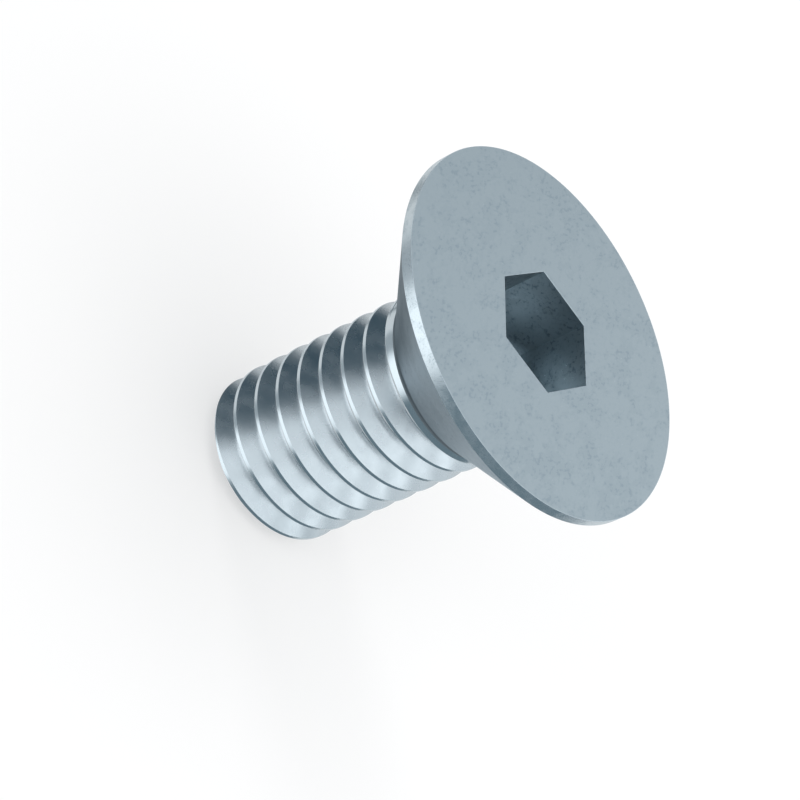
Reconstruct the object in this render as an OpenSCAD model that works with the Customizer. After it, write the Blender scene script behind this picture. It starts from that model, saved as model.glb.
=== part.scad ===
// Countersunk machine screw with a hexagonal socket, size M8 x 16.
// One turned and rolled piece of zinc-plated steel: a flat top face, a short
// straight rim, a 90 degree cone, a plain collar and a right-hand thread.
// It stands on its chamfered end. The origin is the centre of that end face
// and +Z runs along the axis towards the head.

/* [Head] */
// Diameter of the flat top face
head_d = 16.3; // [15.3:0.1:17.9]
// Height of the straight rim below the top face
rim_h = 0.5; // [0.2:0.05:1]
// Width of the broken edge around the top face
rim_edge = 0.06; // [0.02:0.01:0.15]
// Included angle of the countersunk cone, in degrees
cone_angle = 90; // [80:1:100]

/* [Socket] */
// Width of the hexagonal socket across its flats
socket_af = 5.02; // [4:0.02:6]
// Depth of the straight walls of the socket
socket_depth = 3.5; // [2:0.1:3.8]
// Included angle of the drilled point under the socket, in degrees
drill_angle = 120; // [110:2:140]
// Turn of the socket about the axis, in degrees
socket_turn = 21; // [0:1:59]

/* [Shank] */
// Overall length from the top face to the end face
length = 15.8; // [12:0.1:25]
// Diameter over the thread crests, which is also that of the plain collar
thread_d = 7.8; // [7.4:0.02:8]
// Height of the plain collar between the thread and the cone
collar_h = 0.42; // [0.3:0.02:1.5]
// Radius of the fillet where the collar meets the cone
neck_r = 0.25; // [0.1:0.05:0.5]

/* [Thread] */
// Advance of the thread in one turn
pitch = 1.25; // [0.75:0.05:1.5]
// Included angle of the thread flanks, in degrees
thread_angle = 60; // [50:1:64]
// Radius of the rounded root between two flanks
root_r = 0.18; // [0.1:0.01:0.2]
// Direction in which the first crest leaves the end face, in degrees
thread_turn = 57; // [0:1:359]

/* [End] */
// Diameter of the flat end face
end_d = 6.1; // [4.5:0.1:6.4]
// Height of the chamfer around the end face
end_chamfer_h = 0.65; // [0.3:0.05:1.2]

/* [Hidden] */

// Facets of the round faces, steps of the thread in one turn, and steps of
// the fillet and of the rounded root
$fn = 120;
thread_steps = 60;
neck_steps = 6;
root_steps = 3;

// The way that a cutter stands out past the face that it opens, and the
// width at which the runout of the groove stops
cut_over = 0.3;
runout_end = 0.04;

// A metric profile: the crest flat is an eighth of the pitch, and the flanks
// touch the rounded root, whose centre lies this deep under the crests
crest_w = pitch / 8;
groove_w = pitch - crest_w;
flank_turn = thread_angle / 2;
flank_tan = tan(flank_turn);
root_deep = groove_w / 2 / flank_tan - root_r / sin(flank_turn);

head_r = head_d / 2;
thread_r = thread_d / 2;
end_r = end_d / 2;
cone_tan = tan(cone_angle / 2);

// Heights above the end face
rim_z = length - rim_h;
cone_z = rim_z - (head_r - thread_r) / cone_tan;
collar_z = cone_z - collar_h;

// The fillet touches the collar and the cone, which meet at this angle
neck_turn = cone_angle / 2;
neck_reach = neck_r * tan(neck_turn / 2);

// Points of the fillet, from the collar up to the cone, as [radius, height]
function neck_points() = [
    for (i = [0 : neck_steps])
        let (a = neck_turn * i / neck_steps)
            [thread_r + neck_r * (1 - cos(a)),
             cone_z - neck_reach + neck_r * sin(a)]
];

// The right half of the screw's outline, before the thread is cut
module outline() {
    polygon(concat(
        [[0, 0], [end_r, 0], [thread_r, end_chamfer_h]],
        neck_points(),
        [[head_r, rim_z],
         [head_r, length - rim_edge],
         [head_r - rim_edge, length],
         [0, length]]
    ));
}

// Section of the groove from its lower to its upper lip, as [depth under the
// crests, height above the lower edge]. Its size is 1 where it is full.
function groove_profile(size) = [
    [-cut_over, -cut_over * flank_tan],
    for (i = [0 : root_steps])
        let (a = (90 - flank_turn) * (2 * i / root_steps - 1))
            [root_deep + root_r * cos(a), groove_w / 2 + root_r * sin(a)] * size,
    [-cut_over, groove_w * size + cut_over * flank_tan]
];

// Height of the groove's lower edge at the crests, at an angle along the helix
function groove_low(a) = crest_w / 2 + pitch * (a - thread_turn) / 360;

// Size of the groove: full along the shank, and closing against the collar,
// so that the last turn runs out
function groove_size(a) = min(1, (collar_z - groove_low(a)) / groove_w);

// The angles at which the cutter starts below the end face and stops in the
// runout, and its sections and the corners of each
first_angle = thread_turn - 360 * (1 + cut_over / pitch);
last_angle = thread_turn
    + 360 * (collar_z - runout_end - crest_w / 2) / pitch;
rings = ceil((last_angle - first_angle) / 360 * thread_steps);
corners = root_steps + 3;

// One section of the cutter
function groove_ring(a) = [
    for (p = groove_profile(groove_size(a)))
        let (r = thread_r - p[0])
            [r * cos(a), r * sin(a), groove_low(a) + p[1]]
];

// The helical cutter, swept as one closed body
module groove() {
    points = [
        for (i = [0 : rings])
            each groove_ring(first_angle + (last_angle - first_angle) * i / rings)
    ];
    sides = [
        for (i = [0 : rings - 1], j = [0 : corners - 1])
            let (p = corners * i + j, q = corners * i + (j + 1) % corners)
                each [[p, p + corners, q], [q, p + corners, q + corners]]
    ];
    first_cap = [for (j = [0 : corners - 1]) j];
    last_cap = [for (j = [corners - 1 : -1 : 0]) corners * rings + j];
    polyhedron(points, concat(sides, [first_cap, last_cap]), convexity = 12);
}

// The hexagonal socket with the drilled point under it
module socket() {
    corner_d = socket_af / cos(180 / 6);
    drill_r = socket_af / 2;
    drill_h = drill_r / tan(drill_angle / 2);
    floor_z = length - socket_depth;
    rotate([0, 0, socket_turn])
        translate([0, 0, floor_z])
            cylinder(h = socket_depth + cut_over, d = corner_d, $fn = 6);
    translate([0, 0, floor_z - drill_h])
        cylinder(h = drill_h, r1 = 0, r2 = drill_r);
}

module screw() {
    color([0.63, 0.68, 0.72])
        difference() {
            rotate_extrude() outline();
            groove();
            socket();
        }
}

screw();
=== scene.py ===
"""Looks of a countersunk socket screw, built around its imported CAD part."""

import math
from typing import NamedTuple

import bmesh
import bpy
import numpy as np
from mathutils import Matrix, Vector


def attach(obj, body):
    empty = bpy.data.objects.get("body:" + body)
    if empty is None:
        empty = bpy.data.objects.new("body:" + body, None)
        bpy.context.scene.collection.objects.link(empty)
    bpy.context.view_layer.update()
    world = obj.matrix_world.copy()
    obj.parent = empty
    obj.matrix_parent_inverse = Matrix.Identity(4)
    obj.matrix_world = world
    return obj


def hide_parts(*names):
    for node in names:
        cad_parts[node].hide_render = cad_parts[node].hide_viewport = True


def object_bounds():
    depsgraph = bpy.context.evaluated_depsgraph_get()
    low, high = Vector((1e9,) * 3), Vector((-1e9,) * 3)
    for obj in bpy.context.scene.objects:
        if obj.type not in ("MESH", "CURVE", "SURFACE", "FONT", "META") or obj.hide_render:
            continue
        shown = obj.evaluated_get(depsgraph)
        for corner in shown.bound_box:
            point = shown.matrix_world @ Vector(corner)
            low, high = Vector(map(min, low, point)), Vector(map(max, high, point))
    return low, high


bl_info = {
    "name": "Countersunk Socket Screw",
    "version": (1, 0, 0),
    "blender": (4, 5, 0),
    "location": "View3D > Sidebar > Screw",
    "description": "Makes a zinc-plated countersunk screw with a hexagonal socket and its studio",
    "category": "Add Mesh",
}

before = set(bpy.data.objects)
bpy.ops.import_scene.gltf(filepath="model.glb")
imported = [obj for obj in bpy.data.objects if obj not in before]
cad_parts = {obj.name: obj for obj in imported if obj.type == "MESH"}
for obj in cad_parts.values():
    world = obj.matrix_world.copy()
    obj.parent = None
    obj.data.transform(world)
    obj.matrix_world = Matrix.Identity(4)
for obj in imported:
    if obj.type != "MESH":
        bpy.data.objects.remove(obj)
CAD_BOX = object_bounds()
CAD_HIGH = [float(v) for v in CAD_BOX[1]]
CAD_NODE = "screw"
BODY = "root"

MM = 0.001
HEX_SIDES = 6
NORMAL_LAYER = "true_normal"

# Points closer together than this are one point of the mesh
JOIN_STEP = 0.0001 * MM

# Steps of each rounded corner: of the thread's section, of the head and of the chamfer
LIP_STEPS = 4
HEAD_STEPS = 6
CHAMFER_STEPS = 3

# Turns of thread made before the first crest, and the height below the end face
# at which they are closed, before the end itself is cut
TURNS_BELOW = 1.6
CLOSED_AT = -0.3 * MM

# Ring of the plain collar to which the top edge of the thread is joined
FOOT_H = 0.08 * MM

# The cup that cuts the end: its reach beyond the screw, and the worn edge of the end face
CUP_R = 12 * MM
CUP_OVER = 5 * MM
END_EDGE = 0.03 * MM

# Share of the socket's width that the drill under it takes, which keeps it off the walls
DRILL_SHARE = 0.99

# Marks in the plating, in marks per metre
PATCHES = 1300
DOTS = 6500
GRAINS = 9500
GRIT = 5000

# Waves, streaks and grit on the rolled thread, in marks per metre
ROLLED_WAVES = 900
ROLLED_GLOSS = 1500
ROLLED_STREAKS = 2500
ROLLED_GRIT = 7000

# Painted shade: the dark line painted in the neck, from where it is full to where it ends above
# the collar, and the way to the side of the cone that is painted darker as shade
PAINTED_NECK_SHADE = (0.14 * MM, 0.38 * MM)
PAINTED_SHADE_SIDE = (-0.97, -0.26, 0)

# The floor lies this far under the end face, and the lamp stands this far away
FLOOR_GAP = 0.005 * MM
LAMP_AWAY = 0.3


class Card(NamedTuple):
    """A soft card of light: its direction, its inner and outer half-angle, and its level."""

    towards: tuple
    inner: float
    outer: float
    level: float


# +X is on the right of the camera, -Y is in front of the screw and +Z is up
SOFT_CARDS = (
    # The main card, high in front on the right: the bright lower half of the flanks
    Card((0.45, -0.50, 0.74), 12, 45, 1.42),
    # High in front on the left: the upper end of that bright half
    Card((-0.40, -0.55, 0.73), 6, 28, 0.52),
    # On the right: the flanks by the lower outline
    Card((0.87, -0.10, 0.45), 10, 40, 0.35),
    # Lower in front on the left: the white stretch of the rim, the collar and the crests
    Card((-0.42, -0.84, 0.36), 8, 32, 1.48),
    # Low on the left: the second bright stretch of the rim, near the outline
    Card((-0.99, 0.03, 0.11), 4, 17, 1.02),
    # Between those two: the dimmer stretch of the rim
    Card((-0.85, -0.45, 0.24), 8, 26, 0.46),
    # Low on the right: the sides in views from the right
    Card((0.98, 0.00, 0.14), 8, 28, 1.40),
    # Low behind: the top face
    Card((0.00, 0.95, 0.25), 8, 35, 0.68),
    # Overhead: the floor
    Card((0.00, 0.00, 1.00), 10, 45, 0.70),
    # Behind on the right: the top face and the floor
    Card((0.65, 0.60, 0.45), 15, 50, 1.05),
    # High behind on the left: the floor on the left
    Card((-0.25, 0.42, 0.85), 8, 34, 1.05),
)

# The dark flag fills what lies both below a slanting edge and to the right of an upright one.
# Each edge is a direction, and the reach along it from where the flag ends to where it is full.
FLAG_TOP = ((-0.20, 0.42, 1.00), 0.28, 0.14)
FLAG_SIDE = ((0.87, -0.50, 0.00), 0.34, 0.60)

# Two pale boards stand low behind and on the left, as a white backdrop in low views:
# their inner and outer half-angle in degrees, and the height where each is full and ends
BOARD_REACH = (14, 24)
BOARD_TOP = (0.16, 0.26)

# Order of the materials on the screw
TOP, RIM, CONE, CREST, FLANK, SOCKET, END = range(7)


class ScrewSizes(bpy.types.PropertyGroup):
    """Sizes of the screw: those of its solid, with finer edges.

    The last three leave the shape alone. They soften only the shading of its worn, rolled
    surface, which shines as if the flanks leaned less and the edges were rubbed upwards.
    """

    length: bpy.props.FloatProperty(
        name="Length", description="From the end face to the top face",
        default=CAD_HIGH[2], min=12 * MM, max=25 * MM, unit="LENGTH")
    head_d: bpy.props.FloatProperty(
        name="Head", description="Diameter of the flat top face",
        default=2 * CAD_HIGH[0], min=15.3 * MM, max=17.9 * MM, unit="LENGTH")
    rim_h: bpy.props.FloatProperty(
        name="Rim height", description="Height of the straight rim below the top face",
        default=0.5 * MM, min=0.2 * MM, max=1 * MM, unit="LENGTH")
    rim_edge: bpy.props.FloatProperty(
        name="Rim edge", description="Radius of the worn edge around the top face",
        default=0.005 * MM, min=0.002 * MM, max=0.15 * MM, unit="LENGTH")
    cone_edge: bpy.props.FloatProperty(
        name="Cone edge", description="Radius of the edge between the rim and the cone",
        default=0.005 * MM, min=0.002 * MM, max=0.1 * MM, unit="LENGTH")
    cone_angle: bpy.props.FloatProperty(
        name="Cone angle", description="Included angle of the countersunk cone",
        default=math.radians(90), min=math.radians(80), max=math.radians(100), subtype="ANGLE")
    neck_r: bpy.props.FloatProperty(
        name="Neck fillet", description="Radius where the collar meets the cone",
        default=0.25 * MM, min=0.1 * MM, max=0.5 * MM, unit="LENGTH")
    collar_h: bpy.props.FloatProperty(
        name="Collar", description="Height of the plain collar between the thread and the cone",
        default=0.42 * MM, min=0.3 * MM, max=1.5 * MM, unit="LENGTH")
    socket_af: bpy.props.FloatProperty(
        name="Socket", description="Width of the hexagonal socket across its flats",
        default=5.02 * MM, min=4 * MM, max=6 * MM, unit="LENGTH")
    socket_depth: bpy.props.FloatProperty(
        name="Socket depth", description="Depth of the straight walls of the socket",
        default=3.5 * MM, min=2 * MM, max=3.8 * MM, unit="LENGTH")
    socket_edge: bpy.props.FloatProperty(
        name="Socket edge", description="Radius of the edge around the socket's mouth",
        default=0.02 * MM, min=0.005 * MM, max=0.1 * MM, unit="LENGTH")
    socket_turn: bpy.props.FloatProperty(
        name="Socket turn", description="Turn of the socket about the axis",
        default=math.radians(21), subtype="ANGLE")
    drill_angle: bpy.props.FloatProperty(
        name="Drill point", description="Included angle of the drilled point under the socket",
        default=math.radians(120), subtype="ANGLE")
    thread_d: bpy.props.FloatProperty(
        name="Thread", description="Diameter over the crests, which is also that of the collar",
        default=7.8 * MM, min=7.4 * MM, max=8 * MM, unit="LENGTH")
    pitch: bpy.props.FloatProperty(
        name="Pitch", description="Advance of the thread in one turn",
        default=1.25 * MM, min=0.75 * MM, max=1.5 * MM, unit="LENGTH")
    thread_angle: bpy.props.FloatProperty(
        name="Thread angle", description="Included angle of the thread flanks",
        default=math.radians(60), subtype="ANGLE")
    root_r: bpy.props.FloatProperty(
        name="Root", description="Radius of the rounded root between two flanks",
        default=0.18 * MM, min=0.1 * MM, max=0.2 * MM, unit="LENGTH")
    crest_r: bpy.props.FloatProperty(
        name="Crest edge", description="Radius where a flank rolls over into its crest",
        default=0.03 * MM, min=0.005 * MM, max=0.12 * MM, unit="LENGTH")
    thread_turn: bpy.props.FloatProperty(
        name="Thread turn", description="Direction in which the first crest leaves the end face",
        default=math.radians(57), subtype="ANGLE")
    end_d: bpy.props.FloatProperty(
        name="End face", description="Diameter of the flat end face",
        default=6.1 * MM, min=4.5 * MM, max=6.4 * MM, unit="LENGTH")
    end_chamfer_h: bpy.props.FloatProperty(
        name="End chamfer", description="Height of the chamfer around the end face",
        default=0.65 * MM, min=0.3 * MM, max=1.2 * MM, unit="LENGTH")
    columns: bpy.props.IntProperty(
        name="Columns", description="Steps of the surface around the axis, a multiple of 60",
        default=360, min=120, max=480, step=60)
    flank_lean: bpy.props.FloatProperty(
        name="Flank lean", description="Share of the flanks' lean that their soft shading shows",
        default=0.71, min=0.3, max=1)
    root_lean: bpy.props.FloatProperty(
        name="Root lean", description="Share of that lean left where a flank meets the root",
        default=0.88, min=0.3, max=1)
    worn_tilt: bpy.props.FloatProperty(
        name="Worn tilt", description="Upward lean shown by the rim, the collar and the crests",
        default=math.radians(30), min=0, max=math.radians(40), subtype="ANGLE")


class PlatingFinish(bpy.types.PropertyGroup):
    """Colours and gloss of the bluish zinc plating."""

    face_colour: bpy.props.FloatVectorProperty(
        name="Faces", description="Satin plating on the top face",
        default=(0.336, 0.394, 0.427), size=3, min=0, max=1, subtype="COLOR")
    socket_colour: bpy.props.FloatVectorProperty(
        name="Socket", description="Mottled plating on the walls of the socket",
        default=(0.415, 0.484, 0.520), size=3, min=0, max=1, subtype="COLOR")
    cone_colour: bpy.props.FloatVectorProperty(
        name="Cone", description="Plating on the countersunk cone",
        default=(0.420, 0.488, 0.532), size=3, min=0, max=1, subtype="COLOR")
    cone_sheen: bpy.props.FloatVectorProperty(
        name="Cone sheen", description="Colour of the cone seen at a flat angle",
        default=(0.60, 0.66, 0.70), size=3, min=0, max=1, subtype="COLOR")
    # Painted shade, not residue: the colour of the neck's dark line and of the cone's darker side
    cone_shade_colour: bpy.props.FloatVectorProperty(
        name="Neck", description="Dark residue where the cone meets the collar",
        default=(0.060, 0.080, 0.095), size=3, min=0, max=1, subtype="COLOR")
    crest_colour: bpy.props.FloatVectorProperty(
        name="Crests", description="Plating on the rim, the collar and the crests",
        default=(0.520, 0.585, 0.620), size=3, min=0, max=1, subtype="COLOR")
    flank_colour: bpy.props.FloatVectorProperty(
        name="Flanks", description="Rolled plating on the flanks of the thread",
        default=(0.470, 0.523, 0.555), size=3, min=0, max=1, subtype="COLOR")
    speck_colour: bpy.props.FloatVectorProperty(
        name="Specks", description="Dull pits in the plating",
        default=(0.230, 0.290, 0.335), size=3, min=0, max=1, subtype="COLOR")
    face_roughness: bpy.props.FloatProperty(
        name="Face roughness", description="Satin of the top face",
        default=0.42, min=0, max=1, subtype="FACTOR")
    thread_roughness: bpy.props.FloatProperty(
        name="Thread roughness", description="Gloss of the rolled thread",
        default=0.26, min=0, max=1, subtype="FACTOR")


class StudioLook(bpy.types.PropertyGroup):
    """Floor, light and camera of the studio."""

    floor_colour: bpy.props.FloatVectorProperty(
        name="Floor", description="Pale floor",
        default=(0.93, 0.90, 0.88), size=3, min=0, max=1, subtype="COLOR")
    floor_glow: bpy.props.FloatProperty(
        name="Floor glow", description="Share of plain white that the camera and the metal see in it",
        default=0.5, min=0, max=1, subtype="FACTOR")
    floor_size: bpy.props.FloatProperty(
        name="Floor size", description="Side of the square floor",
        default=3.0, min=0.5, unit="LENGTH")
    surround_colour: bpy.props.FloatVectorProperty(
        name="Surround", description="Dim light between the soft cards",
        default=(0.056, 0.102, 0.135), size=3, min=0, max=1, subtype="COLOR")
    flag_colour: bpy.props.FloatVectorProperty(
        name="Flag", description="Dark board low on the right, which the rim and crests reflect",
        default=(0.205, 0.275, 0.315), size=3, min=0, max=1, subtype="COLOR")
    key_strength: bpy.props.FloatProperty(
        name="Key lamp", description="Strength of the soft lamp that lights the floor",
        default=0.5, min=0)
    key_width: bpy.props.FloatProperty(
        name="Key softness", description="Angle that the lamp fills",
        default=math.radians(18), subtype="ANGLE")
    key_heading: bpy.props.FloatProperty(
        name="Key heading", description="Where the lamp stands, turned from +X",
        default=math.radians(160), subtype="ANGLE")
    key_height: bpy.props.FloatProperty(
        name="Key height", description="Elevation of the lamp",
        default=math.radians(30), subtype="ANGLE")
    camera_aim: bpy.props.FloatVectorProperty(
        name="Aim", description="Point at the centre of the picture",
        default=(0.0095 * MM, 0, 7.795 * MM), size=3, subtype="TRANSLATION")
    camera_distance: bpy.props.FloatProperty(
        name="Distance", description="From the aim to the camera",
        default=121.861 * MM, unit="LENGTH")
    camera_drop: bpy.props.FloatProperty(
        name="Drop", description="Angle at which the camera looks down",
        default=math.radians(35.209), subtype="ANGLE")
    camera_roll: bpy.props.FloatProperty(
        name="Roll", description="Turn of the camera about its line of sight",
        default=math.radians(64.85), subtype="ANGLE")
    camera_lens: bpy.props.FloatProperty(
        name="Lens", description="Focal length on a 36 mm sensor",
        default=130.086, min=20)


class SurfaceParts:
    """Collects quads with a true normal at each corner, and makes one mesh of them."""

    def __init__(self):
        self.points = []
        self.normals = []
        self.faces = []
        self.kinds = []
        self.count = 0

    def sheet(self, points, normals, kind):
        """Adds a grid of points. Its front looks along (to the next column) x (to the next row)."""
        rows, columns = points.shape[:2]
        index = np.arange(rows * columns).reshape(rows, columns) + self.count
        quads = np.stack([index[:-1, :-1], index[:-1, 1:], index[1:, 1:], index[1:, :-1]], -1)
        self.points.append(points.reshape(-1, 3))
        self.normals.append(normals.reshape(-1, 3))
        self.faces.extend(quads.reshape(-1, 4).tolist())
        self.kinds.extend([kind] * ((rows - 1) * (columns - 1)))
        self.count += rows * columns

    def patch(self, points, normals, kind):
        """Adds one face with any number of corners."""
        self.points.append(np.asarray(points))
        self.normals.append(np.asarray(normals))
        self.faces.append(list(range(self.count, self.count + len(points))))
        self.kinds.append(kind)
        self.count += len(points)

    def mesh(self, name):
        """One mesh in which equal points are joined and the normals are kept by corner."""
        points = np.concatenate(self.points)
        normals = np.concatenate(self.normals)
        key = np.round(points / JOIN_STEP).astype(np.int64)
        _, first, joined = np.unique(key, axis=0, return_index=True, return_inverse=True)
        joined = joined.reshape(-1)
        faces, kinds, corner_normals = [], [], []
        for face, kind in zip(self.faces, self.kinds):
            corners, origins = [], []
            for corner in face:
                vertex = int(joined[corner])
                if vertex not in corners:
                    corners.append(vertex)
                    origins.append(corner)
            if len(corners) > 2:
                faces.append(corners)
                kinds.append(kind)
                corner_normals.extend(origins)
        mesh = bpy.data.meshes.new(name)
        mesh.from_pydata(points[first].tolist(), [], faces)
        mesh.polygons.foreach_set("material_index", kinds)
        write_normals(mesh, normals[corner_normals])
        mesh.update()
        return mesh


def write_normals(mesh, normals):
    """Keeps the true normals in a layer that cutting carries along."""
    layer = mesh.attributes.new(NORMAL_LAYER, "FLOAT_VECTOR", "CORNER")
    layer.data.foreach_set("vector", normals.astype(np.float32).ravel())


def shade_by_normals(mesh):
    """Shades the mesh with the normals of its layer, and then drops the layer."""
    layer = mesh.attributes[NORMAL_LAYER]
    normals = np.empty(len(mesh.loops) * 3, np.float32)
    layer.data.foreach_get("vector", normals)
    normals = normals.reshape(-1, 3)
    lengths = np.linalg.norm(normals, axis=1, keepdims=True)
    normals = normals / np.maximum(lengths, 1e-9)
    mesh.attributes.remove(layer)
    mesh.polygons.foreach_set("use_smooth", [True] * len(mesh.polygons))
    mesh.normals_split_custom_set(normals.tolist())


def rounded_path(corners, radii, steps):
    """Rows along a path of (radius, height) corners, each corner rounded by its radius.

    A row is (radius, height, normal outwards, normal upwards). The surface lies to the
    right of the path, seen along it.
    """
    corners = [np.array(c, float) for c in corners]
    rows = []
    for k, corner in enumerate(corners):
        before = corner - corners[k - 1] if k > 0 else None
        after = corners[k + 1] - corner if k + 1 < len(corners) else None
        if before is None or after is None:
            way = after if before is None else before
            way = way / np.linalg.norm(way)
            rows.append((corner[0], corner[1], way[1], -way[0]))
            continue
        before = before / np.linalg.norm(before)
        after = after / np.linalg.norm(after)
        turn = math.atan2(before[0] * after[1] - before[1] * after[0], before @ after)
        radius = radii[k]
        start = corner - before * radius * math.tan(abs(turn) / 2)
        side = np.array([-before[1], before[0]]) * math.copysign(1, turn)
        centre = start + side * radius
        for i in range(steps + 1):
            a = turn * i / steps
            spoke = np.array([
                math.cos(a) * -side[0] - math.sin(a) * -side[1],
                math.sin(a) * -side[0] + math.cos(a) * -side[1],
            ])
            way = np.array([
                math.cos(a) * before[0] - math.sin(a) * before[1],
                math.sin(a) * before[0] + math.cos(a) * before[1],
            ])
            point = centre + spoke * radius
            rows.append((point[0], point[1], way[1], -way[0]))
    return rows


def tilt_up(rows, tilt, reach):
    """Leans the normals of what looks outwards up by tilt, and less towards reach."""
    rows = np.array(rows)
    lean = np.arctan2(rows[:, 3], rows[:, 2])
    lean += tilt * np.clip(1 - abs(lean) / reach, 0, 1)
    rows[:, 2] = np.cos(lean)
    rows[:, 3] = np.sin(lean)
    return rows


def column_table(count):
    """Cosines and sines of the columns around the axis."""
    angles = np.arange(count) * 2 * math.pi / count
    return np.cos(angles), np.sin(angles)


def turned_rows(rows, cosines, sines):
    """Points and normals of rows that run right around the axis."""
    r, z, out, up = (np.array(v)[:, None] for v in zip(*rows))
    c = np.append(cosines, cosines[0])[None, :]
    s = np.append(sines, sines[0])[None, :]
    flat = np.ones_like(c)
    points = np.stack([r * c, r * s, z * flat], -1)
    normals = np.stack([out * c, out * s, up * flat], -1)
    return points, normals


def groove_profile(sizes):
    """Section of the full groove as rows of (depth, height, normal outwards, normal upwards).

    Height counts from the middle of the crest below, and depth from the crests.
    """
    crest_w = sizes.pitch / 8
    groove_w = sizes.pitch - crest_w
    half = sizes.thread_angle / 2
    apex = groove_w / 2 / math.tan(half)
    corners = [
        (0, 0),
        (0, crest_w / 2),
        (-apex, crest_w / 2 + groove_w / 2),
        (0, crest_w / 2 + groove_w),
        (0, crest_w / 2 + groove_w + crest_w / 4),
    ]
    radii = [0, sizes.crest_r, sizes.root_r, sizes.crest_r, 0]
    rows = np.array(rounded_path(corners, radii, LIP_STEPS))[:-1]
    return soften_groove(rows, sizes)


def soften_groove(rows, sizes):
    """Turns only the normals: flanks lean less, crests look up, and the root stays a flank."""
    lean = np.round(np.arctan2(rows[:, 3], rows[:, 2]), 6)
    half = sizes.thread_angle / 2
    flank = math.pi / 2 - half
    root = np.arange(len(rows))[LIP_STEPS + 2:2 * LIP_STEPS + 3]
    lean[root] = np.sign(lean[root]) * np.maximum(abs(lean[root]), sizes.root_lean * flank)
    crest = np.setdiff1d(np.arange(len(rows)), root)
    lean *= sizes.flank_lean
    lean[crest] += sizes.worn_tilt * np.clip(1 - abs(lean[crest]) / half, 0, 1)
    rows[:, 2] = np.cos(lean)
    rows[:, 3] = np.sin(lean)
    return rows


class ThreadLayout:
    """Heights, columns and rings of the thread."""

    def __init__(self, sizes):
        self.pitch = sizes.pitch
        self.columns = sizes.columns
        self.crest_w = sizes.pitch / 8
        self.groove_w = sizes.pitch - self.crest_w
        self.radius = sizes.thread_d / 2
        cone_tan = math.tan(sizes.cone_angle / 2)
        self.rim_z = sizes.length - sizes.rim_h
        self.cone_z = self.rim_z - (sizes.head_d / 2 - self.radius) / cone_tan
        self.collar_z = self.cone_z - sizes.collar_h
        turns = (self.collar_z - self.crest_w / 2) / self.pitch
        self.turn = round(sizes.thread_turn / 2 / math.pi * self.columns)
        self.last = self.turn + round(turns * self.columns)
        self.first = self.turn - round(TURNS_BELOW * self.columns)
        self.count = self.last - self.first

    def low(self, ring):
        """Height of the groove's lower edge at a ring, at the crests."""
        return self.crest_w / 2 + self.pitch * (ring + self.first - self.turn) / self.columns

    def size(self, ring):
        """1 where the groove is full, and 0 where it has run out against the collar."""
        left = (self.count - ring) * self.pitch / self.columns / self.groove_w
        return np.minimum(1, left)


def thread_rings(sizes, layout, cosines, sines):
    """Points and normals of the thread, as [ring, row]."""
    profile = groove_profile(sizes)
    ring = np.arange(layout.count + 1)
    low = layout.low(ring)
    scale = layout.size(ring)
    depth = -profile[:, 0][None, :] * scale[:, None]
    height = profile[:, 1][None, :] - layout.crest_w / 2
    rise = np.where(height > 0, height * scale[:, None], height)
    r = layout.radius - depth
    z = low[:, None] + rise
    column = (ring + layout.first) % layout.columns
    c = cosines[column][:, None]
    s = sines[column][:, None]
    points = np.stack([r * c, r * s, z], -1)
    out = np.broadcast_to(profile[:, 2][None, :], r.shape)
    up = np.broadcast_to(profile[:, 3][None, :], r.shape)
    along = np.gradient(points, axis=0)
    across = np.stack([-up * c, -up * s, out], -1)
    normals = np.cross(along, across)
    normals /= np.linalg.norm(normals, axis=2, keepdims=True)
    return points, normals


def add_thread(parts, sizes, layout, cosines, sines):
    """The helical thread from below the end face up to its runout. Returns its top edge."""
    points, normals = thread_rings(sizes, layout, cosines, sines)
    n = layout.columns
    rows = points.swapaxes(0, 1)
    row_normals = normals.swapaxes(0, 1)
    last = len(rows) - 1
    low_lip = LIP_STEPS + 1
    high_lip = last - LIP_STEPS
    for start, stop, kind in ((0, low_lip, CREST), (low_lip, high_lip, FLANK), (high_lip, last, CREST)):
        parts.sheet(rows[start:stop + 1], row_normals[start:stop + 1], kind)
    crest = np.stack([rows[-1][:layout.count - n + 1], rows[0][n:]])
    crest_normals = np.stack([row_normals[-1][:layout.count - n + 1], row_normals[0][n:]])
    parts.sheet(crest, crest_normals, CREST)
    return rows, row_normals


def add_collar_foot(parts, layout, tilt, thread, cosines, sines):
    """Joins the top edge of the thread to the first ring of the plain collar."""
    rows, row_normals = thread
    n = layout.columns
    last = layout.count
    foot_z = layout.collar_z + FOOT_H
    ring = np.arange(last - n + 1, last + 1)
    column = (ring + layout.first) % n
    c, s = cosines[column], sines[column]
    outwards = np.stack([c, s, np.zeros(n)], -1)
    foot = outwards * layout.radius + np.array([0, 0, foot_z])
    facing = outwards * math.cos(tilt) + np.array([0, 0, math.sin(tilt)])
    parts.sheet(np.stack([rows[-1][ring], foot]), np.stack([row_normals[-1][ring], facing]), CREST)
    corners = [rows[0][last], rows[-1][last - n], rows[-1][last - n + 1], foot[0], foot[-1], rows[-1][last]]
    facing = [facing[-1], facing[-1], facing[0], facing[0], facing[-1], facing[-1]]
    parts.patch(corners, facing, CREST)
    return foot_z


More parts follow.
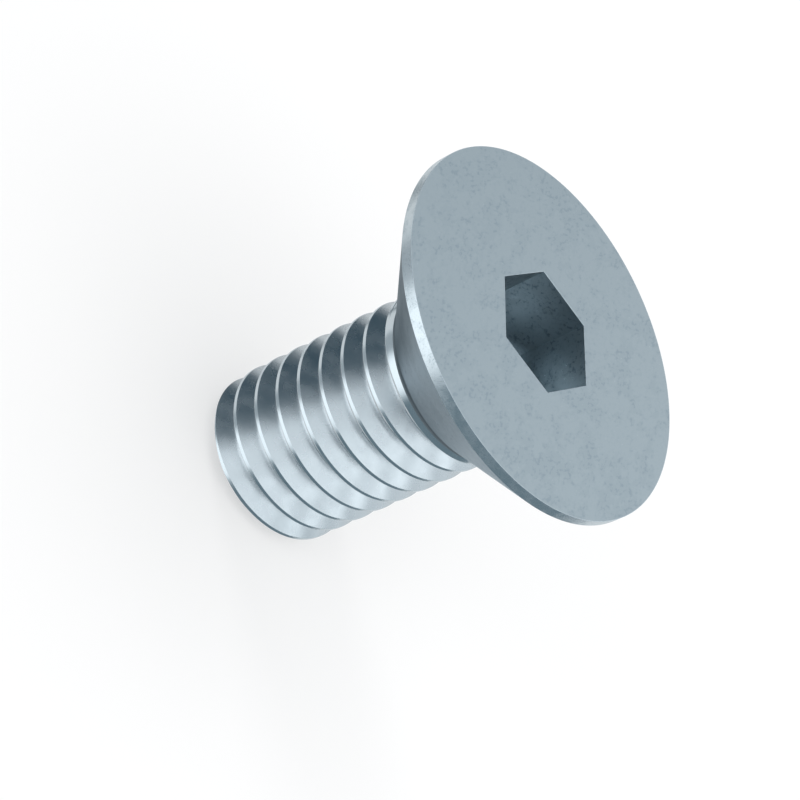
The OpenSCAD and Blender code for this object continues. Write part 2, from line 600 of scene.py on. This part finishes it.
def add_head(parts, sizes, layout, foot_z, cosines, sines):
    """Collar, fillet, cone and rim, up to the edge of the top face."""
    head_r = sizes.head_d / 2
    path = [
        (layout.radius, foot_z),
        (layout.radius, layout.cone_z),
        (head_r, layout.rim_z),
        (head_r, sizes.length),
        (head_r - 3 * sizes.rim_edge, sizes.length),
    ]
    rows = rounded_path(path, [0, sizes.neck_r, sizes.cone_edge, sizes.rim_edge, 0], HEAD_STEPS)
    half = sizes.cone_angle / 2
    cone_end = HEAD_STEPS + 2
    collar = tilt_up(rows[:2], sizes.worn_tilt, half)
    cone = rows[1:cone_end + 1]
    rim = tilt_up(rows[cone_end:], sizes.worn_tilt, half)
    for run, kind in ((collar, CREST), (cone, CONE), (rim, RIM)):
        points, normals = turned_rows(run, cosines, sines)
        parts.sheet(points, normals, kind)
    return rows[-1][0]


def hexagon_reach(sizes, apothem):
    """Distance of a hexagon's outline from the axis at each column."""
    angle = np.arange(sizes.columns) * 2 * math.pi / sizes.columns
    side = 2 * math.pi / HEX_SIDES
    return apothem / np.cos((angle - sizes.socket_turn) % side - side / 2)


def add_top_face(parts, sizes, inner_r, cosines, sines):
    """Flat ring between the rim and the socket."""
    mouth = hexagon_reach(sizes, sizes.socket_af / 2 + sizes.socket_edge)
    steps = np.linspace(0, 1, 5)[:, None]
    r = inner_r + (mouth[None, :] - inner_r) * steps
    points = np.stack([r * cosines, r * sines, np.full_like(r, sizes.length)], -1)
    points = np.concatenate([points, points[:, :1]], 1)
    normals = np.zeros_like(points)
    normals[..., 2] = 1
    parts.sheet(points, normals, TOP)


def add_socket(parts, sizes, cosines, sines):
    """Six walls with rounded top edges, and the drilled point under them."""
    apothem = sizes.socket_af / 2
    edge = sizes.socket_edge
    floor_z = sizes.length - sizes.socket_depth
    rows = []
    for a in np.radians(np.linspace(0, 90, 4)):
        rows.append((apothem + edge - edge * math.sin(a), sizes.length - edge + edge * math.cos(a), a))
    walls_z = np.linspace(sizes.length - edge, floor_z, 6)[1:]
    rows += [(apothem, z, math.pi / 2) for z in walls_z]
    per_side = sizes.columns // HEX_SIDES
    start = round(sizes.socket_turn / 2 / math.pi * sizes.columns)
    for side in range(HEX_SIDES):
        column = (start + side * per_side + np.arange(per_side + 1)) % sizes.columns
        middle = sizes.socket_turn + (side + 0.5) * 2 * math.pi / HEX_SIDES
        inwards = -np.array([math.cos(middle), math.sin(middle), 0])
        points, normals = [], []
        for width, z, lean in rows:
            reach = hexagon_reach(sizes, width)[column]
            level = np.full(len(column), z)
            points.append(np.stack([reach * cosines[column], reach * sines[column], level], -1))
            normal = inwards * math.sin(lean) + np.array([0, 0, math.cos(lean)])
            normals.append(np.tile(normal, (len(column), 1)))
        parts.sheet(np.array(points), np.array(normals), SOCKET)
    add_socket_floor(parts, sizes, floor_z, cosines, sines)


def add_socket_floor(parts, sizes, floor_z, cosines, sines):
    """Corners left flat by the drill, and the cone that it makes."""
    apothem = sizes.socket_af / 2
    drill_r = DRILL_SHARE * apothem
    reach = hexagon_reach(sizes, apothem)
    r = np.stack([reach, np.full_like(reach, drill_r)])
    points = np.stack([r * cosines, r * sines, np.full_like(r, floor_z)], -1)
    points = np.concatenate([points, points[:, :1]], 1)
    normals = np.zeros_like(points)
    normals[..., 2] = 1
    parts.sheet(points, normals, SOCKET)
    slope = math.tan(sizes.drill_angle / 2)
    out, up = -math.cos(sizes.drill_angle / 2), math.sin(sizes.drill_angle / 2)
    rows = [(k * drill_r, floor_z - (1 - k) * drill_r / slope, out, up) for k in (1, 0.6, 0.25, 0)]
    cone_points, cone_normals = turned_rows(rows, cosines, sines)
    parts.sheet(cone_points, cone_normals, SOCKET)


def close_below(mesh, height):
    """Cuts the mesh off at a height and closes the opening with one face."""
    cut = bmesh.new()
    cut.from_mesh(mesh)
    everything = cut.verts[:] + cut.edges[:] + cut.faces[:]
    bmesh.ops.bisect_plane(
        cut, geom=everything, plane_co=(0, 0, height), plane_no=(0, 0, 1), clear_inner=True, dist=1e-9)
    rim = [e for e in cut.edges if e.is_boundary]
    bmesh.ops.contextual_create(cut, geom=rim)
    bmesh.ops.recalc_face_normals(cut, faces=cut.faces[:])
    cut.to_mesh(mesh)
    cut.free()


def end_cup(sizes, layout):
    """A cup whose bottom is the end face and whose wall is the chamfer, wider than the screw."""
    parts = SurfaceParts()
    end_r = sizes.end_d / 2
    slope = sizes.end_chamfer_h / (layout.radius - end_r)
    top_z = sizes.length + CUP_OVER
    angles = (np.arange(sizes.columns) + 0.5) * 2 * math.pi / sizes.columns
    cosines, sines = np.cos(angles), np.sin(angles)
    path = [(0, 0), (end_r, 0), (CUP_R, slope * (CUP_R - end_r))]
    chamfer = rounded_path(path, [0, END_EDGE, 0], CHAMFER_STEPS)
    end_face = [chamfer[0], chamfer[1]]
    walls = [(CUP_R, chamfer[-1][1], 1, 0), (CUP_R, top_z, 1, 0)]
    lid = [(CUP_R, top_z, 0, 1), (0, top_z, 0, 1)]
    for run in (end_face, chamfer[1:], walls, lid):
        points, normals = turned_rows(run, cosines, sines)
        parts.sheet(points, normals, END)
    return parts.mesh("end_cup")


def object_of(name, mesh):
    """An object of that mesh in the scene."""
    made = bpy.data.objects.new(name, mesh)
    bpy.context.scene.collection.objects.link(made)
    return made


def keep_inside(made, cup_mesh):
    """Keeps only what lies inside the cup, which cuts the end face and its chamfer."""
    cup = object_of("cup", cup_mesh)
    cutter = made.modifiers.new("end", "BOOLEAN")
    cutter.operation = "INTERSECT"
    cutter.solver = "EXACT"
    cutter.object = cup
    graph = bpy.context.evaluated_depsgraph_get()
    cut_mesh = bpy.data.meshes.new_from_object(made.evaluated_get(graph))
    made.modifiers.remove(cutter)
    made.data = cut_mesh
    bpy.data.objects.remove(cup)


def screw_mesh_object(sizes):
    """The whole screw as one object, not yet plated."""
    layout = ThreadLayout(sizes)
    cosines, sines = column_table(sizes.columns)
    parts = SurfaceParts()
    thread = add_thread(parts, sizes, layout, cosines, sines)
    foot_z = add_collar_foot(parts, layout, sizes.worn_tilt, thread, cosines, sines)
    inner_r = add_head(parts, sizes, layout, foot_z, cosines, sines)
    add_top_face(parts, sizes, inner_r, cosines, sines)
    add_socket(parts, sizes, cosines, sines)
    mesh = parts.mesh("plated_screw")
    close_below(mesh, CLOSED_AT)
    screw = object_of("plated_screw", mesh)
    keep_inside(screw, end_cup(sizes, layout))
    if len(screw.data.polygons) < 1000:
        raise RuntimeError("the end of the screw could not be cut")
    shade_by_normals(screw.data)
    return screw


class Net:
    """Short calls for making and joining shader nodes."""

    def __init__(self, tree, fresh=True):
        self.tree = tree
        if fresh:
            tree.nodes.clear()

    def found(self, kind):
        """The first node of a kind."""
        return next(node for node in self.tree.nodes if node.type == kind)

    def node(self, kind, inputs=(), **settings):
        made = self.tree.nodes.new(kind)
        for name, value in settings.items():
            setattr(made, name, value)
        for name, value in dict(inputs).items():
            self.put(made.inputs[name], value)
        return made

    def put(self, socket, value):
        if isinstance(value, bpy.types.NodeSocket):
            self.tree.links.new(value, socket)
        else:
            socket.default_value = value

    def math(self, operation, a, b=0.0):
        made = self.node("ShaderNodeMath", operation=operation)
        self.put(made.inputs[0], a)
        self.put(made.inputs[1], b)
        return made.outputs[0]

    def ramp(self, value, low, high, start=0.0, end=1.0):
        """A soft step from start to end while value goes from low to high."""
        inputs = {"Value": value, "From Min": low, "From Max": high, "To Min": start, "To Max": end}
        return self.node("ShaderNodeMapRange", inputs, interpolation_type="SMOOTHSTEP").outputs[0]

    def blend(self, share, a, b):
        """Colour a where share is 0, and b where it is 1."""
        made = self.node("ShaderNodeMix", data_type="RGBA")
        self.put(made.inputs[0], share)
        self.put(made.inputs[6], a)
        self.put(made.inputs[7], b)
        return made.outputs[2]

    def along(self, way, towards):
        """How far a direction goes along another."""
        inputs = {0: way, 1: tuple(towards)}
        return self.node("ShaderNodeVectorMath", inputs, operation="DOT_PRODUCT").outputs["Value"]

    def noise(self, where, scale, detail=2.0, roughness=0.5):
        made = self.node(
            "ShaderNodeTexNoise",
            {"Vector": where, "Scale": scale, "Detail": detail, "Roughness": roughness})
        return made.outputs["Fac"]


def opaque(colour):
    """A property's colour as red, green, blue and alpha."""
    return (colour[0], colour[1], colour[2], 1)


def plated_material(name):
    """An empty material of metal, and its net, shader and place coordinates."""
    material = bpy.data.materials.new(name)
    material.use_nodes = True
    net = Net(material.node_tree)
    out = net.node("ShaderNodeOutputMaterial")
    shader = net.node("ShaderNodeBsdfPrincipled", {"Metallic": 1.0})
    net.put(out.inputs["Surface"], shader.outputs[0])
    place = net.node("ShaderNodeTexCoord").outputs["Object"]
    return material, net, shader, place


def drawn_place(net, place, turn, ratio):
    """Place coordinates in which round marks come out drawn out along one way."""
    mapping = net.node(
        "ShaderNodeMapping", {"Vector": place, "Rotation": (0, 0, turn), "Scale": (1, ratio, 1)})
    return mapping.outputs[0]


def face_material(name, finish, colour, roughness, mottle, bump_depth, fineness=1.0):
    """Satin plating with soft patches, clustered dull dots and a few bright grains."""
    material, net, shader, place = plated_material(name)
    drawn = drawn_place(net, place, math.radians(35), 0.6)
    patches = net.ramp(net.noise(drawn, PATCHES * fineness, 3, 0.6), 0.42, 0.60)
    dots = net.ramp(net.noise(drawn, DOTS * fineness, 2, 0.6), 0.52, 0.66)
    grains = net.ramp(net.noise(place, GRAINS, 1), 0.72, 0.80)
    gather = net.math("ADD", net.math("MULTIPLY", patches, 0.75), 0.25)
    dull = net.math("MULTIPLY", dots, gather)
    cloudy = net.math("MULTIPLY", patches, 0.22 * mottle)
    shade = net.math("ADD", net.math("MULTIPLY", dull, mottle), cloudy)
    tone = net.blend(shade, opaque(colour), opaque(finish.speck_colour))
    tone = net.blend(net.math("MULTIPLY", grains, 0.25), tone, opaque(finish.crest_colour))
    net.put(shader.inputs["Base Color"], tone)
    gloss = net.ramp(patches, 0, 1, roughness - 0.02, roughness + 0.04)
    gloss = net.math("SUBTRACT", gloss, net.math("MULTIPLY", grains, 0.10))
    net.put(shader.inputs["Roughness"], gloss)
    relief = net.math("SUBTRACT", net.noise(place, GRIT, 3), net.math("MULTIPLY", dull, 0.7))
    relief = net.math("ADD", relief, net.math("MULTIPLY", grains, 0.6))
    bump = net.node("ShaderNodeBump", {"Strength": 1.0, "Distance": bump_depth, "Height": relief})
    net.put(shader.inputs["Normal"], bump.outputs[0])
    return material


def cone_material(name, finish, neck_z):
    """Duller plating on the cone, with painted shade: a dark line in its neck and a darker side on the
    left.

    It changes what face_material makes, which is why it looks for that shader.
    """
    material = face_material(
        name, finish, finish.cone_colour, 0.48, mottle=0.5, bump_depth=0.0015 * MM)
    net = Net(material.node_tree, fresh=False)
    shader = net.found("BSDF_PRINCIPLED")
    shader.distribution = "GGX"
    net.put(shader.inputs["Specular Tint"], opaque(finish.cone_sheen))
    plating = shader.inputs["Base Color"].links[0].from_socket
    place = net.node("ShaderNodeTexCoord").outputs["Object"]
    height = net.node("ShaderNodeSeparateXYZ", {"Vector": place}).outputs["Z"]
    # Painted shade: darkens the cone where it meets the collar
    full, gone = PAINTED_NECK_SHADE
    neck = net.ramp(height, neck_z + gone, neck_z + full, 0.0, 0.8)
    # Painted shade: the cone's left side is painted darker, as if it faced darker surroundings
    around = net.node("ShaderNodeVectorMath", {0: place, 1: (1, 1, 0)}, operation="MULTIPLY").outputs[0]
    around = net.node("ShaderNodeVectorMath", {0: around}, operation="NORMALIZE").outputs[0]
    wavering = net.math("MULTIPLY", net.noise(place, 500, 2), 0.1)
    side = net.ramp(net.math("ADD", net.along(around, PAINTED_SHADE_SIDE), wavering), 0.42, 0.72, 0.0, 0.74)
    shade = net.math("MAXIMUM", neck, side)
    net.put(shader.inputs["Base Color"], net.blend(shade, plating, opaque(finish.cone_shade_colour)))
    return material


def rolled_material(name, colour, worn_colour, roughness):
    """Rolled plating: smooth, with faint soft waves, streaks and a little grit."""
    material, net, shader, place = plated_material(name)
    waves = net.noise(place, ROLLED_WAVES, 2)
    grit = net.noise(place, ROLLED_GRIT, 2)
    streaks = net.ramp(net.noise(place, ROLLED_STREAKS, 3), 0.4, 0.7)
    tone = net.blend(net.math("MULTIPLY", streaks, 0.18), opaque(colour), opaque(worn_colour))
    net.put(shader.inputs["Base Color"], tone)
    gloss = net.ramp(net.noise(place, ROLLED_GLOSS, 2), 0.3, 0.7, roughness - 0.02, roughness + 0.03)
    net.put(shader.inputs["Roughness"], gloss)
    relief = net.math("ADD", waves, net.math("MULTIPLY", grit, 0.01))
    bump = net.node("ShaderNodeBump", {"Strength": 1.0, "Distance": 0.006 * MM, "Height": relief})
    net.put(shader.inputs["Normal"], bump.outputs[0])
    return material


def screw_materials(finish, neck_z):
    """The materials in the order of the screw's surface kinds."""
    face = finish.face_colour
    crest = finish.crest_colour
    flank = finish.flank_colour
    rolled = finish.thread_roughness
    return [
        face_material(
            "satin_top_face", finish, face, finish.face_roughness, mottle=0.45, bump_depth=0.0012 * MM),
        face_material(
            "specked_rim", finish, crest, 0.22, mottle=0.30, bump_depth=0.0015 * MM, fineness=1.8),
        cone_material("turned_cone", finish, neck_z),
        rolled_material("bright_crests", crest, flank, rolled - 0.10),
        rolled_material("rolled_flanks", flank, crest, rolled),
        face_material(
            "socket_walls", finish, finish.socket_colour, 0.36, mottle=0.85, bump_depth=0.0020 * MM),
        face_material("cut_end", finish, crest, 0.30, mottle=0.4, bump_depth=0.0012 * MM),
    ]


class SCREW_OT_make_screw(bpy.types.Operator):
    """Makes the plated screw in place of its plain solid"""

    bl_idname = "screw.make_screw"
    bl_label = "Make screw"

    def execute(self, context):
        scene = context.scene
        screw = screw_mesh_object(scene.screw_sizes)
        neck_z = ThreadLayout(scene.screw_sizes).cone_z
        for material in screw_materials(scene.plating_finish, neck_z):
            screw.data.materials.append(material)
        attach(screw, BODY)
        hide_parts(CAD_NODE)
        return {"FINISHED"}


def floor_material(studio):
    """Matt pale board with a barely uneven tone, seen whiter than it lights the screw."""
    material = bpy.data.materials.new("pale_floor")
    material.use_nodes = True
    net = Net(material.node_tree)
    out = net.node("ShaderNodeOutputMaterial")
    place = net.node("ShaderNodeTexCoord").outputs["Object"]
    tone = net.noise(place, 30, 3)
    colour = opaque(studio.floor_colour)
    darker = tuple(0.985 * v for v in colour[:3]) + (1,)
    shade = net.blend(tone, colour, darker)
    board = net.node("ShaderNodeBsdfDiffuse", {"Color": shade})
    glow = net.node("ShaderNodeEmission", {"Color": (1, 1, 1, 1), "Strength": 1.0})
    path = net.node("ShaderNodeLightPath").outputs
    seen = net.math("MAXIMUM", path["Is Camera Ray"], path["Is Glossy Ray"])
    seen = net.math("MAXIMUM", seen, path["Is Transmission Ray"])
    share = net.math("MULTIPLY", seen, studio.floor_glow)
    mixed = net.node("ShaderNodeMixShader", {0: share, 1: board.outputs[0], 2: glow.outputs[0]})
    net.put(out.inputs["Surface"], mixed.outputs[0])
    return material


def make_floor(studio):
    """A wide flat floor just under the end face."""
    half = studio.floor_size / 2
    mesh = bpy.data.meshes.new("floor")
    corners = [(x, y, -FLOOR_GAP) for x, y in ((-half, -half), (half, -half), (half, half), (-half, half))]
    mesh.from_pydata(corners, [], [(0, 1, 2, 3)])
    mesh.materials.append(floor_material(studio))
    floor = object_of("floor", mesh)


def card_share(net, way, card):
    """1 for directions in the middle of a soft card, and 0 beyond its edge."""
    reach = net.along(way, Vector(card.towards).normalized())
    return net.ramp(reach, math.cos(math.radians(card.outer)), math.cos(math.radians(card.inner)))


def flag_edge(net, way, edge):
    """1 for directions on the flag's side of one of its soft edges, and 0 beyond it."""
    towards, gone, full = edge
    return net.ramp(net.along(way, towards), gone, full)


def board_share(net, way, towards):
    """1 for directions towards the middle of a pale board, and 0 beyond its ends."""
    inner, outer = (math.cos(math.radians(angle)) for angle in BOARD_REACH)
    return net.ramp(net.along(way, towards), outer, inner)


def make_surroundings(studio):
    """Soft cards of light in a dim surround, with a dark flag and two pale boards low down."""
    world = bpy.data.worlds.new("studio")
    bpy.context.scene.world = world
    world.use_nodes = True
    net = Net(world.node_tree)
    out = net.node("ShaderNodeOutputWorld")
    way = net.node("ShaderNodeTexCoord").outputs["Generated"]
    light = 0.0
    for card in SOFT_CARDS:
        light = net.math("ADD", light, net.math("MULTIPLY", card_share(net, way, card), card.level))
    lit = net.node("ShaderNodeMix", {0: 1.0}, data_type="RGBA", blend_type="ADD")
    net.put(lit.inputs[6], opaque(studio.surround_colour))
    net.put(lit.inputs[7], light)
    flag = net.math("MULTIPLY", flag_edge(net, way, FLAG_TOP), flag_edge(net, way, FLAG_SIDE))
    flagged = net.blend(flag, lit.outputs[2], opaque(studio.flag_colour))
    boards = net.math("ADD", board_share(net, way, (0, 1, 0)), board_share(net, way, (-1, 0, 0)))
    full, gone = BOARD_TOP
    low = net.ramp(net.along(way, (0, 0, 1)), gone, full)
    colour = net.blend(net.math("MULTIPLY", low, boards), flagged, (1, 1, 1, 1))
    back = net.node("ShaderNodeBackground", {"Color": colour, "Strength": 1.0})
    net.put(out.inputs["Surface"], back.outputs[0])


def make_key_lamp(studio):
    """Soft lamp from behind on the left, which lights the floor and lays the shadow in front."""
    lamp = bpy.data.lights.new("key_lamp", "SUN")
    lamp.energy = studio.key_strength
    lamp.angle = studio.key_width
    made = object_of("key_lamp", lamp)
    level = math.cos(studio.key_height)
    heading = studio.key_heading
    towards = Vector((level * math.cos(heading), level * math.sin(heading), math.sin(studio.key_height)))
    made.rotation_euler = towards.to_track_quat("Z", "Y").to_euler()
    made.location = towards * LAMP_AWAY
    made.visible_glossy = False


def make_camera(studio):
    """The camera at the photograph's place."""
    data = bpy.data.cameras.new("camera")
    data.lens = studio.camera_lens
    data.sensor_width = 36
    data.clip_start = 0.01
    data.clip_end = 20
    camera = object_of("camera", data)
    tilt = Matrix.Rotation(math.pi / 2 - studio.camera_drop, 4, "X")
    roll = Matrix.Rotation(studio.camera_roll, 4, "Z")
    turned = tilt @ roll
    back = tilt.to_3x3() @ Vector((0, 0, 1))
    place = Vector(studio.camera_aim) + back * studio.camera_distance
    camera.matrix_world = Matrix.Translation(place) @ turned
    bpy.context.scene.camera = camera


class SCREW_OT_set_stage(bpy.types.Operator):
    """Makes the pale floor, the soft light and the camera"""

    bl_idname = "screw.set_stage"
    bl_label = "Set stage"

    def execute(self, context):
        studio = context.scene.studio_look
        make_floor(studio)
        make_surroundings(studio)
        make_key_lamp(studio)
        make_camera(studio)
        context.scene.view_settings.view_transform = "Standard"
        return {"FINISHED"}


class SCREW_PT_panel(bpy.types.Panel):
    """Lists the steps that make the screw and its studio."""

    bl_label = "Countersunk Screw"
    bl_idname = "SCREW_PT_panel"
    bl_space_type = "VIEW_3D"
    bl_region_type = "UI"
    bl_category = "Screw"

    def draw(self, context):
        layout = self.layout
        for operator in OPERATORS:
            layout.operator(operator.bl_idname)
        for group in (context.scene.screw_sizes, context.scene.plating_finish, context.scene.studio_look):
            box = layout.box()
            for name in group.bl_rna.properties.keys():
                if name not in ("name", "rna_type"):
                    box.prop(group, name)


OPERATORS = (SCREW_OT_make_screw, SCREW_OT_set_stage)
CLASSES = (ScrewSizes, PlatingFinish, StudioLook) + OPERATORS + (SCREW_PT_panel,)


def register():
    """Adds the classes and the scene's properties."""
    for one in CLASSES:
        bpy.utils.register_class(one)
    bpy.types.Scene.screw_sizes = bpy.props.PointerProperty(type=ScrewSizes)
    bpy.types.Scene.plating_finish = bpy.props.PointerProperty(type=PlatingFinish)
    bpy.types.Scene.studio_look = bpy.props.PointerProperty(type=StudioLook)


def unregister():
    """Takes the classes and the scene's properties away."""
    del bpy.types.Scene.studio_look
    del bpy.types.Scene.plating_finish
    del bpy.types.Scene.screw_sizes
    for one in reversed(CLASSES):
        bpy.utils.unregister_class(one)


def main():
    """Makes everything in order."""
    register()
    bpy.ops.screw.make_screw()
    bpy.ops.screw.set_stage()


if __name__ == "__main__":
    main()
